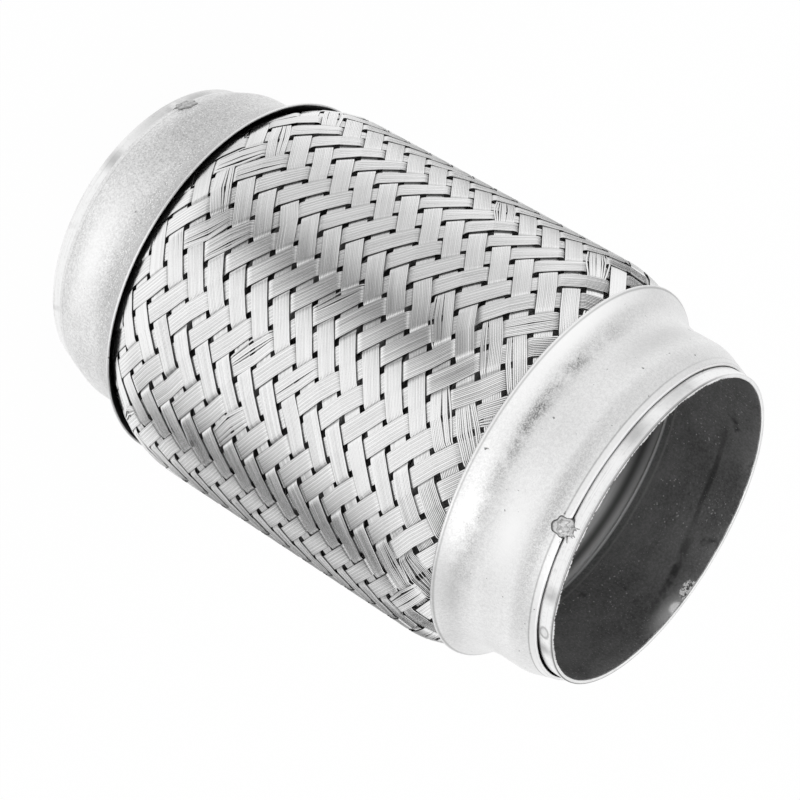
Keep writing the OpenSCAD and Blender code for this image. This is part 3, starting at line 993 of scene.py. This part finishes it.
@dataclass
class TackWelds:
    """Two lumpy beads across the joint of cap and sleeve."""

    pipe: Pipe
    end: End
    angles: tuple[float, ...]
    bead_h: float
    bead_r: float
    spikes: int
    level: float
    fold: float
    station: float = 4.1
    keep_back: float = 0.5
    lip_h: float = 1.1
    lip_blur: float = 0.9
    taper: float = 20.0
    sunk: float = 0.3
    spike_w: float = 0.055
    lumps: int = 9
    rings: int = 16
    spokes: int = 160
    seed: int = 30

    def seat(self, station: np.ndarray) -> np.ndarray:
        """Height over the sleeve of what a bead lies on: a smooth step on to the lip, then the taper."""
        past = station - self.pipe.sleeve_out
        step = np.clip(past + self.lip_blur, 0, 1)
        rise = np.clip(past, 0, 9) * math.tan(math.radians(self.taper))
        return step * step * (3 - 2 * step) * (self.lip_h + rise)

    def bead(self, angle: float, rng: np.random.Generator) -> tuple[np.ndarray, np.ndarray, np.ndarray]:
        """One bead: a dome over a wavy outline, with spikes of spatter towards the mouth.

        Args:
            angle: Place round the axis, in degrees.
            rng: Source of the lumps.

        Returns:
            Points, faces as triangles with a pole above and below, and the height of each point.
        """
        around = full_turn(self.spokes).T
        out = np.linspace(1 / self.rings, 1, self.rings)[:, None]
        edge = 1 + 0.13 * smooth_noise(rng, around, (2, 3, 5, 7))
        for spike in rng.uniform(-2.3, -0.5, self.spikes):
            away = np.angle(np.exp(1j * (around - spike)))
            edge = edge + rng.uniform(0.25, 0.7) * np.exp(-(away / self.spike_w) ** 2)
        side = self.bead_r * out * edge * np.cos(around)
        along = self.bead_r * out * edge * np.sin(around)
        middles = zip(rng.normal(0, 1.1, self.lumps), rng.normal(0, 1.0, self.lumps))
        bulges = zip(middles, rng.uniform(0.35, 0.65, self.lumps), rng.uniform(0.3, 0.9, self.lumps))
        lumps = sum(weight * np.exp(-((side - px) ** 2 + (along - py) ** 2) / size ** 2)
                    for (px, py), size, weight in bulges)
        dome = 0.25 * (1 - out ** 2) + 0.62 * lumps * (1 - out ** 4)
        height = self.bead_h * dome + 0.06 - 0.2 * out ** 6
        station = np.maximum(self.station + along, self.keep_back)
        radius = self.pipe.sleeve_r + self.seat(station) + height
        turn = np.radians(angle) + side / self.pipe.sleeve_r
        grid = polar(radius, turn, self.end.height(station, self.pipe.length)).reshape(-1, 3)
        top_r = self.pipe.sleeve_r + self.lip_h + 0.8 * self.bead_h
        pole_r = np.array([top_r, self.pipe.sleeve_r - self.sunk])
        pole_z = self.end.height(np.array(self.station), self.pipe.length)
        poles = polar(pole_r, np.radians(angle), pole_z)
        index = np.arange(self.rings * self.spokes).reshape(self.rings, self.spokes)
        ahead = np.roll(index, -1, axis=1)
        top, bottom = index.size, index.size + 1
        quads = np.stack([index[:-1], index[1:], ahead[1:], ahead[:-1]], -1).reshape(-1, 4)
        faces = np.concatenate([
            quads[:, [0, 1, 2]], quads[:, [0, 2, 3]],
            np.stack([np.full(self.spokes, top), index[0], ahead[0]], -1),
            np.stack([np.full(self.spokes, bottom), ahead[-1], index[-1]], -1),
        ])
        # The stored height drives the weld's painted light and shade.
        tone = np.concatenate([(height / self.bead_h + 0 * around).ravel(), [0.8, 0.0]])
        return np.concatenate([grid, poles]), faces, tone

    def build(self) -> bpy.types.Object:
        """Makes every bead of this end as one group."""
        rng = self.end.random(self.seed)
        beads = [self.bead(angle, rng) for angle in self.angles]
        firsts = np.cumsum([0] + [len(points) for points, _, _ in beads[:-1]])
        points = np.concatenate([points for points, _, _ in beads])
        faces = np.concatenate([faces + first for (_, faces, _), first in zip(beads, firsts)])
        tone = np.concatenate([tone for _, _, tone in beads])
        return solid(f"{self.end.value}_weld_beads", points, [faces], 60.0, {"tone": tone})

    def dress(self, piece: bpy.types.Object) -> None:
        """Weld metal."""
        finish = WeldMetal(f"{self.end.value}_weld_grey", Slot.WELD, self.level, self.fold)
        finish_piece(piece, finish.material(), f"{self.end.value}_tack_welds")


@dataclass
class Braid:
    """Tube woven from flat bands of wire, each over two and under two of the bands wound the other way.

    A band has its own coordinates: u runs along it and grows by one at each crossing, and v runs across
    it from 0 to 1. Where u is from 0 to 2, and every 4 on from there, the band lies on top.
    """

    pipe: Pipe
    carriers: int = 64
    pick: float = 3.255
    turn: float = 1.4
    lift: float = -1.4
    wires: int = 11
    band_share: float = 0.74
    wire_w: float = 0.335
    wire_h: float = 0.3
    crown: float = 0.035
    wire_tilt: float = 0.045
    weave_h: float = 0.46
    outer_r: float = 48.84
    sock_r: float = 40.9
    foot_s: float = 16.4
    foot_r: float = 14.9
    shoulder_r: float = 22.0
    end_s: float = 17.8
    dive: float = 9.0
    late: float = 0.07
    groups: int = 2
    chance: float = 0.02
    cap_chance: float = 0.28
    loose_reach: float = 10.0
    slit: float = 1.7
    cap_slit: float = 2.8
    slit_reach: float = 12.0
    slit_chance: float = 0.25
    raised: float = 0.12
    roll: float = 0.025
    drift: float = 0.04
    loose_drift: float = 0.03
    # Painted shade on the lower corner of each wire's section, which darkens the wire's sides.
    underside_shade: float = 0.85
    loose_spots: tuple[tuple[float, float], ...] = (
        (-95, 79), (-73, 80), (-73, 67), (-52, 67), (-95, 48), (-97, 39), (-92, 34),
        (-118, 43), (-112, 49), (-126, 38), (-110, 103), (-86, 118))

    def radius_at(self, height: np.ndarray) -> np.ndarray:
        """Outer radius at a height: the cuff, a hollow arc along the flare, a round shoulder, the body."""
        station = self.pipe.station(height)
        rise = self.outer_r - self.sock_r
        sweep = math.acos(1 - rise / (self.foot_r + self.shoulder_r))
        foot_end = self.foot_s + self.foot_r * math.sin(sweep)
        full = foot_end + self.shoulder_r * math.sin(sweep)
        past = np.clip(station - self.foot_s, 0, self.foot_r)
        foot = self.sock_r + self.foot_r - np.sqrt(self.foot_r ** 2 - past ** 2)
        away = np.clip(full - station, 0, self.shoulder_r)
        shoulder = self.outer_r - self.shoulder_r + np.sqrt(self.shoulder_r ** 2 - away ** 2)
        return np.where(station < foot_end, foot, shoulder)

    def samples(self, lean: Lean, phase: int) -> np.ndarray:
        """Places along a band: seven for every two crossings, close together where it dives."""
        middle = self.pipe.length / 2 + self.lift
        low = (self.end_s - middle) / self.pick
        high = (self.pipe.length - self.end_s - middle) / self.pick
        ends = sorted((lean.value * (row - 2 * phase) + 0.5 for row in (low, high)))
        halves = np.arange(-60, 60, 2)
        late = np.where(halves % 4 == 2, self.late, -self.late)
        offsets = np.array([-0.22, -0.12, -0.04, 0.04, 0.12, 0.22, 1.0])
        dives = ((halves + late)[:, None] + offsets).ravel()
        inside = dives[(dives > ends[0] + 0.1) & (dives < ends[1] - 0.1)]
        return np.concatenate([[ends[0]], inside, [ends[1]]])

    def place(self, lean: Lean, phase: int, first: np.ndarray, u: np.ndarray,
              v: np.ndarray | float) -> tuple[np.ndarray, np.ndarray]:
        """Angle in radians and height of a place on a band.

        Args:
            lean: Which way the band is wound.
            phase: 0 or 1, which of the two sets of bands it belongs to.
            first: Step round the axis at which the band's first pad starts.
            u: Place along the band.
            v: Place across the band.

        Returns:
            Angles and heights.
        """
        step = first + u - v
        row = 2 * phase + lean.value * (u + v - 1)
        angle = np.radians(self.turn + step * 360 / self.carriers)
        return angle, self.pipe.length / 2 + self.lift + self.pick * row

    def looseness(self, angle: np.ndarray, height: np.ndarray, rng: np.random.Generator) -> np.ndarray:
        """How far the wires of each pad have spread.

        Args:
            angle: Angles of the pads' middles, in radians.
            height: Their heights.
            rng: Source of the loose pads.

        Returns:
            Spread from 0 to 1: a few pads at random, more of them by the caps, and the named spots.
        """
        by_cap = self.pipe.station(height) < self.pipe.skirt_s + self.loose_reach
        chance = np.where(by_cap, self.cap_chance, self.chance)
        loose = np.where(rng.random(angle.shape) < chance, rng.uniform(0.5, 1.0, angle.shape), 0.03)
        for spot_angle, spot_height in self.loose_spots:
            side = (np.degrees(angle) - spot_angle + 180) % 360 - 180
            near = np.hypot(np.radians(side) * self.outer_r, height - spot_height) < self.pick
            loose = np.where(near, 1.0, loose)
        return loose

    def stray(self, lean: Lean, phase: int, first: np.ndarray, u: np.ndarray,
              rng: np.random.Generator) -> tuple[np.ndarray, np.ndarray]:
        """Leads the wires along their bands, astray in the loose pads.

        Wires lie evenly across a band. In a loose pad slits set them apart, and they lift a little. Every
        pad also drifts sideways and rolls. All of that grows and fades along a pad as a squared cosine.

        Args:
            lean: Which way the bands are wound.
            phase: 0 or 1, which of the two sets of bands they belong to.
            first: Step round the axis at which each band's first pad starts.
            u: Places along the bands.
            rng: Source of the loose pads, slits, lift, roll and drift.

        Returns:
            Place across the band, and lift in millimetres, by band, wire and place along it.
        """
        even = 0.5 + (np.arange(self.wires) - (self.wires - 1) / 2) * self.band_share / self.wires
        pads = np.arange(math.floor(u[0] / 4), math.ceil(u[-1] / 4) + 1) * 4 + 1.0
        pad_angle, pad_height = self.place(lean, phase, first[:, None], pads[None, :], 0.5)
        loose = self.looseness(pad_angle, pad_height, rng)
        shape = (len(first), len(pads), self.wires)
        by_cap = self.pipe.station(pad_height) < self.pipe.skirt_s + self.slit_reach
        widest = np.where(by_cap, self.cap_slit, self.slit)[..., None]
        slits = 1 + widest * (rng.random(shape) < self.slit_chance) * rng.random(shape)
        packed = np.cumsum(slits, axis=-1) * self.band_share / self.wires
        spread = 0.5 + packed - packed.mean(-1, keepdims=True) - even
        raised = rng.uniform(0, self.raised, shape)
        roll = rng.normal(0, self.roll, shape[:2])
        drift = rng.normal(0, 1, shape[:2]) * (self.drift + self.loose_drift * (loose > 0.4))
        window = np.cos(np.clip((u[None, :] - pads[:, None]) / 1.5, -1, 1) * np.pi / 2) ** 2
        across = even[None, :, None] + np.einsum("bq,bqw,qn->bwn", loose, spread, window)
        across = across + np.einsum("bq,qn->bn", drift, window)[:, None, :]
        lift = np.einsum("bq,bqw,qn->bwn", loose, raised, window)
        lift = lift + np.einsum("bq,qn->bn", roll, window)[:, None, :] * (even - 0.5)[None, :, None] * 2
        return across, lift

    def build_group(self, lean: Lean, phase: int, group: int) -> bpy.types.Object:
        """Every second band of one winding and one phase, as separate closed wires.

        A wire follows its band's line over and under, and its flat-topped section is carried along it.
        Falling bands are painted darker than rising ones, and every second wire of a falling band darker
        still: painted shade that shows as a fine hatch. A random part of each wire's tone is its own.

        Args:
            lean: Which way the bands are wound.
            phase: 0 or 1, which of the two sets of bands they belong to.
            group: Which of the groups they belong to.

        Returns:
            The group of bands.
        """
        rng = np.random.default_rng(100 + 10 * phase + group + (1000 if lean is Lean.RISING else 0))
        bands = np.arange(group, self.carriers // 4, self.groups)
        first = (4 * bands + (0 if lean is Lean.RISING else 2)).astype(float)
        u = self.samples(lean, phase)
        across, lift = self.stray(lean, phase, first, u, rng)
        angle, height = self.place(lean, phase, first[:, None, None], u, across)
        bare = self.pipe.station(height) - self.pipe.skirt_s
        level = np.tanh(self.dive * (np.cos((u - 1) * np.pi / 2) + math.sin(self.late * math.pi / 2)))
        middle = self.radius_at(height) - self.wire_h / 2 - self.weave_h * (1 - level) / 2 + lift
        middle = np.minimum(middle, self.outer_r - self.wire_h / 2)
        # Painted shade: falling bands darker, every second falling wire darker still; the random part is
        # the wires' own.
        plain, hatch = (0.75, 0.0) if lean is Lean.RISING else (0.4, 0.36)
        tone = plain + hatch * (np.arange(self.wires) % 2) + 0.25 * rng.random((len(bands), self.wires))
        tilt = rng.normal(0, self.wire_tilt, tone.shape)
        points = self.tubes(angle, height, middle, tilt)
        count, rings, sides = points.shape[0] * points.shape[1], points.shape[2], points.shape[3]
        # Painted shadow: wires by the caps' skirts go dark, for the shade in the gap under each skirt.
        skirt_shadow = np.clip(-0.8 - bare / 2, 0, 1)
        stored = {
            "depth": np.maximum(skirt_shadow[..., None], np.array([0, 0, 0, self.underside_shade])),
            "tone": np.broadcast_to(tone[:, :, None, None], points.shape[:-1]),
            "run": np.broadcast_to(u[:, None], points.shape[:-1]),
        }
        name = f"{lean.name.lower()}_bands_{1 + phase * self.groups + group}"
        return solid(name, points, self.wire_faces(count, rings, sides), 40.0, stored)

    def tubes(self, angle: np.ndarray, height: np.ndarray, radius: np.ndarray,
              tilt: np.ndarray) -> np.ndarray:
        """Carries the wire's section along every wire, square to its run and upright from the axis.

        Args:
            angle: Angles of the wires' middles, by band, wire and place.
            height: Heights, in the same order.
            radius: Radii, in the same order.
            tilt: Slope that each wire is rolled by, by band and wire.

        Returns:
            Points by band, wire, place and corner of the section.
        """
        line = polar(radius, angle, height)
        ahead = np.gradient(line, axis=2)
        ahead = ahead / np.linalg.norm(ahead, axis=-1, keepdims=True)
        side = np.cross(polar(1.0, angle, 0.0), ahead)
        side = side / np.linalg.norm(side, axis=-1, keepdims=True)
        up = np.cross(ahead, side)
        half, top = self.wire_w / 2, self.wire_h / 2
        section = np.array([[-half, top - self.crown], [0, top], [half, top - self.crown], [0, -top]])
        rise = section[:, 1] + tilt[:, :, None, None] * section[:, 0]
        sideways = section[:, 0, None] * side[..., None, :]
        return line[..., None, :] + sideways + rise[..., None] * up[..., None, :]

    @staticmethod
    def wire_faces(count: int, rings: int, sides: int) -> list[np.ndarray]:
        """Skin and end faces of a number of like wires."""
        index = np.arange(count * rings * sides).reshape(count, rings, sides)
        around = np.roll(index, -1, axis=2)
        skin = np.stack([index[:, :-1], around[:, :-1], around[:, 1:], index[:, 1:]], -1).reshape(-1, 4)
        return [skin, index[:, 0, ::-1].reshape(-1, sides), index[:, -1].reshape(-1, sides)]

    def build(self) -> list[bpy.types.Object]:
        """Makes every group of bands."""
        return [self.build_group(lean, phase, group)
                for lean in Lean for phase in (0, 1) for group in range(self.groups)]

    def dress(self, pieces: Sequence[bpy.types.Object]) -> None:
        """One bright wire finish on every group."""
        finish = BraidWire("braid_bright_wire", Slot.BRAID)
        material = finish.material()
        for piece in pieces:
            finish_piece(piece, material, "outer_braid")


@dataclass
class Bellows:
    """The convoluted tube, shown by its own solid."""

    pipe: Pipe
    node: bpy.types.Object

    def dress(self) -> None:
        """Dull formed sheet on the solid's own mesh."""
        finish = BellowsSteel("bellows_formed_sheet", Slot.BELLOWS, self.pipe.length, None,
                              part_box("bellows")[1].x / MM)
        self.node.data.materials.clear()
        self.node.data.materials.append(finish.material())
        LOG.info("%s: new finish", self.node.name)


@dataclass
class Studio:
    """White floor and surroundings, a soft lamp, a screen for reflections and the camera.

    A strip of the screen is its bearing, its reach in degrees, its low and high ends and its depth.
    """

    floor_half: float = 4000.0
    eye: tuple[float, float, float] = (0.0, -526.0, 352.8)
    aim: tuple[float, float, float] = (5.2, 0.0, 79.8)
    roll: float = 121.3
    lens: float = 113.86
    sensor: float = 36.0
    floor_level: float = 1.0
    floor_glow: float = 0.97
    world_level: float = 0.9
    horizon_rise: float = 0.16
    horizon_reach: float = 0.3
    horizon_dark: float = 0.5
    lamp_place: tuple[float, float, float] = (700.0, -500.0, 700.0)
    lamp_size: float = 600.0
    lamp_power: float = 1.0
    screen_in: float = 50.0
    screen_r: float = 95.0
    screen_h: float = 130.0
    screen_over: float = 0.2
    darkest: float = 0.02
    screen_steps: int = 180
    screen_rows: int = 60
    soft_edge: float = 12.0
    strips: tuple[tuple[float, float, float, float, float], ...] = (
        (-108.0, 23.0, -2.0, 106.0, 0.74),
        (-143.0, 32.0, -2.0, 106.0, 0.33),
        (173.0, 16.0, -2.0, 106.0, 0.12),
        (150.0, 24.0, -2.0, 106.0, 0.48),
        (-12.0, 24.0, -2.0, 106.0, 0.88),
        (-34.0, 14.0, -2.0, 106.0, 0.15),
        (32.0, 34.0, -2.0, 106.0, 0.75),
        (-140.0, 42.0, -60.0, -4.0, 0.25),
    )

    @staticmethod
    def stand(name: str, points: list, faces: list) -> tuple[bpy.types.Object, Graph]:
        """Makes an object of the studio with an empty material.

        Args:
            name: Name of the object and its mesh.
            points: Places in metres.
            faces: Point numbers of each face.

        Returns:
            The object, and its material's tree.
        """
        mesh = bpy.data.meshes.new(name)
        mesh.from_pydata(points, [], faces)
        made = bpy.data.objects.new(name, mesh)
        bpy.context.scene.collection.objects.link(made)
        paint = bpy.data.materials.new(f"{name}_white")
        paint.use_nodes = True
        mesh.materials.append(paint)
        return made, Graph(paint.node_tree)

    def build_floor(self) -> None:
        """Flat pale floor under the mouth that the pipe stands on, which keeps the pipe's shadow."""
        half = self.floor_half * MM
        corners = [(-half, -half, 0), (half, -half, 0), (half, half, 0), (-half, half, 0)]
        floor, graph = self.stand("floor", corners, [(0, 1, 2, 3)])
        seen = self.seen(graph)
        matte = graph.value("ShaderNodeBsdfDiffuse", 0, None, {"Color": grey(self.floor_level)})
        glow = graph.value("ShaderNodeEmission", 0, None, {"Color": grey(1.0), "Strength": 1.0})
        both = graph.value("ShaderNodeMixShader", 0, None, {0: seen * self.floor_glow, 1: matte, 2: glow})
        graph.node("ShaderNodeOutputMaterial", None, {"Surface": both})

    @staticmethod
    def seen(graph: Graph) -> Expr:
        """1 for what the camera, a reflection or a pane shows, and 0 for light that falls on things."""
        path = graph.node("ShaderNodeLightPath")
        rays = [Expr(graph, path.outputs[name]) for name in
                ("Is Camera Ray", "Is Glossy Ray", "Is Transmission Ray")]
        return graph.math("MINIMUM", rays[0] + rays[1] + rays[2], 1.0)

    def build_world(self) -> None:
        """White surroundings: full white where they are seen, and a plain level where they give light.

        Reflections and light meet a darker horizon, which the camera itself doesn't see.
        """
        world = bpy.data.worlds.new("surroundings")
        bpy.context.scene.world = world
        world.use_nodes = True
        graph = Graph(world.node_tree)
        rise = graph.parts(graph.value("ShaderNodeTexCoord", "Generated"))[2]
        straight = graph.value("ShaderNodeLightPath", "Is Camera Ray")
        horizon = rise.near(self.horizon_rise, self.horizon_reach) * self.horizon_dark
        strength = self.seen(graph) * (1.0 - self.world_level) + self.world_level
        strength = strength * (1.0 - horizon * (1.0 - straight))
        sky = graph.value("ShaderNodeBackground", 0, None, {"Color": grey(1.0), "Strength": strength})
        graph.node("ShaderNodeOutputWorld", None, {"Surface": sky})

    def build_screen(self) -> None:
        """White screen round the pipe that only reflections see, with darker strips.

        The screen is a ring on the floor and a wall around it, as one grid of bearing and unrolled height,
        which is below 0 on the ring. A strip takes its depth away from the white: it is a squared cosine
        across its bearing, and it fades out above and below over a soft edge.
        """
        bearing = np.linspace(-180, 180, self.screen_steps, endpoint=False)[:, None]
        height = np.linspace(self.screen_in - self.screen_r, self.screen_h, self.screen_rows)[None, :]
        glow = np.ones((self.screen_steps, self.screen_rows))
        for middle, reach, low, high, depth in self.strips:
            aside = np.clip(np.abs((bearing - middle + 180) % 360 - 180) / reach, 0, 1)
            above = np.clip((height - low) / self.soft_edge, 0, 1)
            below = np.clip((high - height) / self.soft_edge, 0, 1)
            glow = glow - depth * np.cos(aside * np.pi / 2) ** 2 * above * below
        out = self.screen_r + np.minimum(height, 0)
        points = polar(out, np.radians(bearing), np.maximum(height, self.screen_over))
        index = np.arange(glow.size).reshape(glow.shape)
        ahead = np.roll(index, -1, axis=0)
        faces = np.stack([index[:, :-1], ahead[:, :-1], ahead[:, 1:], index[:, 1:]], -1).reshape(-1, 4)
        screen, graph = self.stand("screen", (points.reshape(-1, 3) * MM).tolist(), faces.tolist())
        layer = screen.data.attributes.new("glow", "FLOAT", "POINT")
        layer.data.foreach_set("value", np.clip(glow, self.darkest, 1).astype(np.float32).ravel())
        screen.visible_camera = False
        screen.visible_diffuse = False
        screen.visible_shadow = False
        screen.visible_transmission = False
        sockets = {"Color": grey(1.0), "Strength": graph.attribute("glow")}
        white = graph.value("ShaderNodeEmission", 0, None, sockets)
        graph.node("ShaderNodeOutputMaterial", None, {"Surface": white})

    def build_lamp(self) -> None:
        """Square soft lamp that faces the middle of the pipe."""
        light = bpy.data.lights.new("key_lamp", "AREA")
        light.size = self.lamp_size * MM
        light.energy = self.lamp_power
        lamp = bpy.data.objects.new("key_lamp", light)
        spot = Vector(self.lamp_place) * MM
        lamp.location = spot
        lamp.rotation_euler = (Vector(self.aim) * MM - spot).to_track_quat("-Z", "Y").to_euler()
        bpy.context.scene.collection.objects.link(lamp)

    def build_camera(self) -> None:
        """Camera at the photograph's angle: it looks from the eye to the aim, rolled about that line."""
        eye = Vector(self.eye) * MM
        ahead = (Vector(self.aim) * MM - eye).normalized()
        level = ahead.cross(Vector((0, 0, 1))).normalized()
        upright = level.cross(ahead)
        turn = math.radians(self.roll)
        right = level * math.cos(turn) + upright * math.sin(turn)
        up = upright * math.cos(turn) - level * math.sin(turn)
        data = bpy.data.cameras.new("camera")
        data.sensor_width = self.sensor
        data.lens = self.lens
        camera = bpy.data.objects.new("camera", data)
        camera.matrix_world = Matrix.Translation(eye) @ Matrix((right, up, -ahead)).transposed().to_4x4()
        bpy.context.scene.collection.objects.link(camera)
        bpy.context.scene.camera = camera

    def build(self) -> None:
        """Sets the scene up."""
        self.build_camera()
        self.build_floor()
        self.build_world()
        self.build_lamp()
        self.build_screen()
        bpy.context.scene.view_settings.view_transform = "Standard"


def main() -> None:
    """Sets the studio up, then builds the pieces around the frame."""
    logging.basicConfig(level=logging.INFO, format="%(name)s %(message)s")
    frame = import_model()
    pipe = Pipe.from_frame(frame["record"])
    Studio().build()
    welds = (
        TackWelds(pipe, End.UPPER, (-76.0, 76.0), bead_h=0.8, bead_r=2.35, spikes=6,
                  level=0.72, fold=0.08),
        TackWelds(pipe, End.LOWER, (-135.0, 45.0), bead_h=0.5, bead_r=2.7, spikes=0,
                  level=0.6, fold=0.4, station=4.4),
    )
    for end, weld in zip((End.UPPER, End.LOWER), welds):
        for part in (EndCap(pipe, end), InnerSleeve(pipe, end), weld):
            part.dress(part.build())
    braid = Braid(pipe)
    braid.dress(braid.build())
    Bellows(pipe, frame["nodes"]["bellows"]).dress()


if __name__ == "__main__":
    main()
